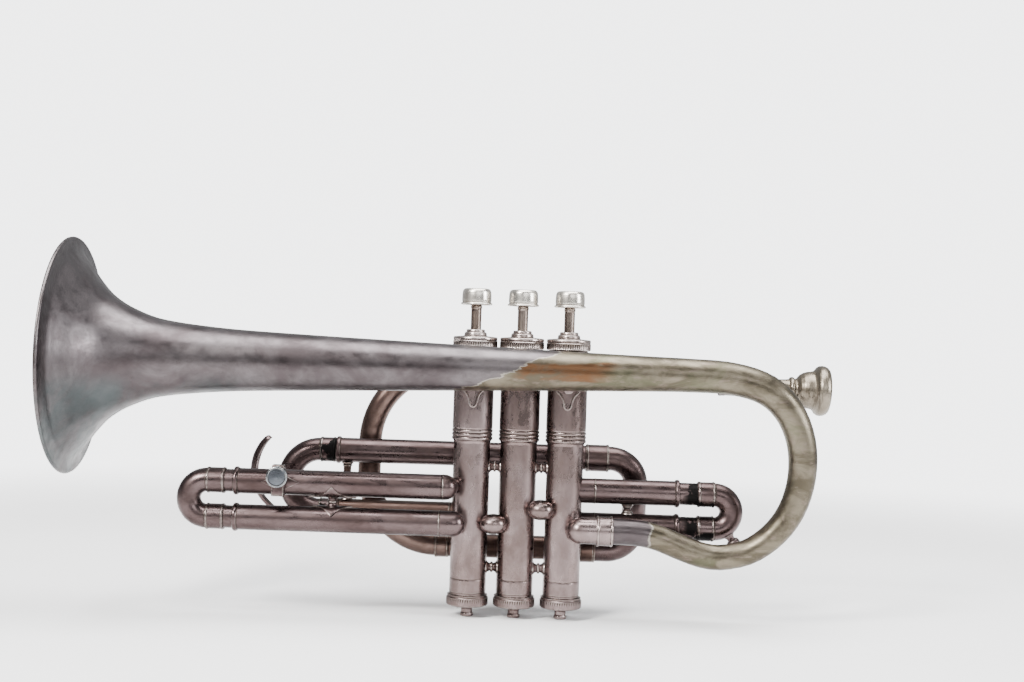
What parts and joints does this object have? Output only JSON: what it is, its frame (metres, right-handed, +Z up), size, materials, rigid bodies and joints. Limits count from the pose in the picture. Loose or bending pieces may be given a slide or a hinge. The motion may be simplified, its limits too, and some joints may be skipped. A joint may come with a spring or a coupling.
{
  "type": "cornet",
  "caption": "Short valved brass horn with piston valves, a forward bell with a rear loop, sliding tubing, a water key, a lyre socket and a cup mouthpiece.",
  "frame": {"origin": "centre of the flat foot of the middle valve's bottom cap", "axes": "+X towards the mouthpiece and away from the bell mouth, +Z up along the valves towards the finger buttons, -Y towards the bell's side"},
  "size_m": [0.3902, 0.1261, 0.1856],
  "materials": {
    "tarnished_silver": "silver plate over brass, tarnished pinkish brown, half gloss",
    "worn_bell": "silver plate worn through to dull brass along the tail",
    "bright_silver": "bright silver plate, lightly worn",
    "piston_nickel": "ground nickel plate",
    "spring_steel": "drawn spring wire",
    "cork": "matte"
  },
  "bodies": {
    "horn": {"bell": "worn_bell", "valve_casing_1": "tarnished_silver", "bottom_cap_1": "tarnished_silver", "top_cap_1": "tarnished_silver", "valve_spring_1": "spring_steel", "valve_casing_2": "tarnished_silver", "bottom_cap_2": "tarnished_silver", "top_cap_2": "tarnished_silver", "valve_spring_2": "spring_steel", "valve_casing_3": "tarnished_silver", "bottom_cap_3": "tarnished_silver", "top_cap_3": "tarnished_silver", "valve_spring_3": "spring_steel", "crossover_3_2": "tarnished_silver", "crossover_2_1": "tarnished_silver", "casing_brace_upper_32": "tarnished_silver", "casing_brace_upper_21": "tarnished_silver", "casing_brace_lower_32": "tarnished_silver", "casing_brace_lower_21": "tarnished_silver", "bell_ferrule": "tarnished_silver", "bell_knuckle": "tarnished_silver", "bell_brace_1": "tarnished_silver", "bell_brace_3": "tarnished_silver", "mouthpiece_receiver": "tarnished_silver", "leadpipe": "tarnished_silver", "front_bow": "tarnished_silver", "return_tube": "tarnished_silver", "rear_bow": "tarnished_silver", "transfer_tube": "tarnished_silver", "leadpipe_brace_1": "tarnished_silver", "leadpipe_brace_3": "tarnished_silver", "main_slide_outer_lower": "tarnished_silver", "main_slide_brace": "tarnished_silver", "third_slide_outer_upper": "tarnished_silver", "third_slide_outer_lower": "tarnished_silver", "third_slide_brace": "tarnished_silver", "first_slide_outer_upper": "tarnished_silver", "first_slide_outer_lower": "tarnished_silver", "first_slide_brace": "tarnished_silver", "second_slide_outer_upper": "tarnished_silver", "second_slide_outer_lower": "tarnished_silver", "lyre_box": "tarnished_silver"},
    "valve_1": {"piston_1": "piston_nickel", "valve_stem_1": "bright_silver", "finger_button_1": "bright_silver"},
    "valve_2": {"piston_2": "piston_nickel", "valve_stem_2": "bright_silver", "finger_button_2": "bright_silver"},
    "valve_3": {"piston_3": "piston_nickel", "valve_stem_3": "bright_silver", "finger_button_3": "bright_silver"},
    "tuning_slide": {"main_tuning_slide": "tarnished_silver", "water_key_pin": "bright_silver"},
    "water_key_lever": {"water_key": "tarnished_silver", "water_key_cork": "cork"},
    "slide_1": {"first_valve_slide": "tarnished_silver"},
    "slide_2": {"second_valve_slide": "tarnished_silver"},
    "slide_3": {"third_valve_slide": "tarnished_silver"},
    "removable_mouthpiece": {"mouthpiece": "bright_silver"},
    "lyre_thumbscrew": {"lyre_screw": "bright_silver"}
  },
  "joints": [
    {"name": "valve_1_press", "type": "slide", "parent": "horn", "child": "valve_1", "axis": [0, 0, -1], "range_m": [0, 0.012], "stiffness_N_per_m": 150, "springref_m": -0.02, "deforming": ["valve_spring_1"]},
    {"name": "valve_2_press", "type": "slide", "parent": "horn", "child": "valve_2", "axis": [0, 0, -1], "range_m": [0, 0.012], "stiffness_N_per_m": 150, "springref_m": -0.02, "deforming": ["valve_spring_2"]},
    {"name": "valve_3_press", "type": "slide", "parent": "horn", "child": "valve_3", "axis": [0, 0, -1], "range_m": [0, 0.012], "stiffness_N_per_m": 150, "springref_m": -0.02, "deforming": ["valve_spring_3"]},
    {"name": "tuning_slide_pull", "type": "slide", "parent": "horn", "child": "tuning_slide", "axis": [-1, 0, 0], "range_m": [0, 0.045]},
    {"name": "slide_1_pull", "type": "slide", "parent": "horn", "child": "slide_1", "axis": [1, 0, 0], "range_m": [-0.009, 0.03]},
    {"name": "slide_2_pull", "type": "slide", "parent": "horn", "child": "slide_2", "axis": [0, 1, 0], "range_m": [-0.0012, 0.01]},
    {"name": "slide_3_pull", "type": "slide", "parent": "horn", "child": "slide_3", "axis": [-1, 0, 0], "range_m": [-0.004, 0.05]},
    {"name": "mouthpiece_pull", "type": "slide", "parent": "horn", "child": "removable_mouthpiece", "axis": [0.9995, 0, -0.0332], "range_m": [0, 0.026]},
    {"name": "water_key_turn", "type": "hinge", "parent": "tuning_slide", "child": "water_key_lever", "pos_m": [-0.1224, 0.017, 0.0466], "axis": [0, 1, 0], "range_deg": [0, 12], "stiffness_Nm_per_rad": 0.02, "springref_deg": -34.38},
    {"name": "lyre_screw_turn", "type": "hinge", "parent": "horn", "child": "lyre_thumbscrew", "pos_m": [-0.1192, -0.027, 0.0707], "axis": [0, -1, 0], "continuous": true}
  ]
}
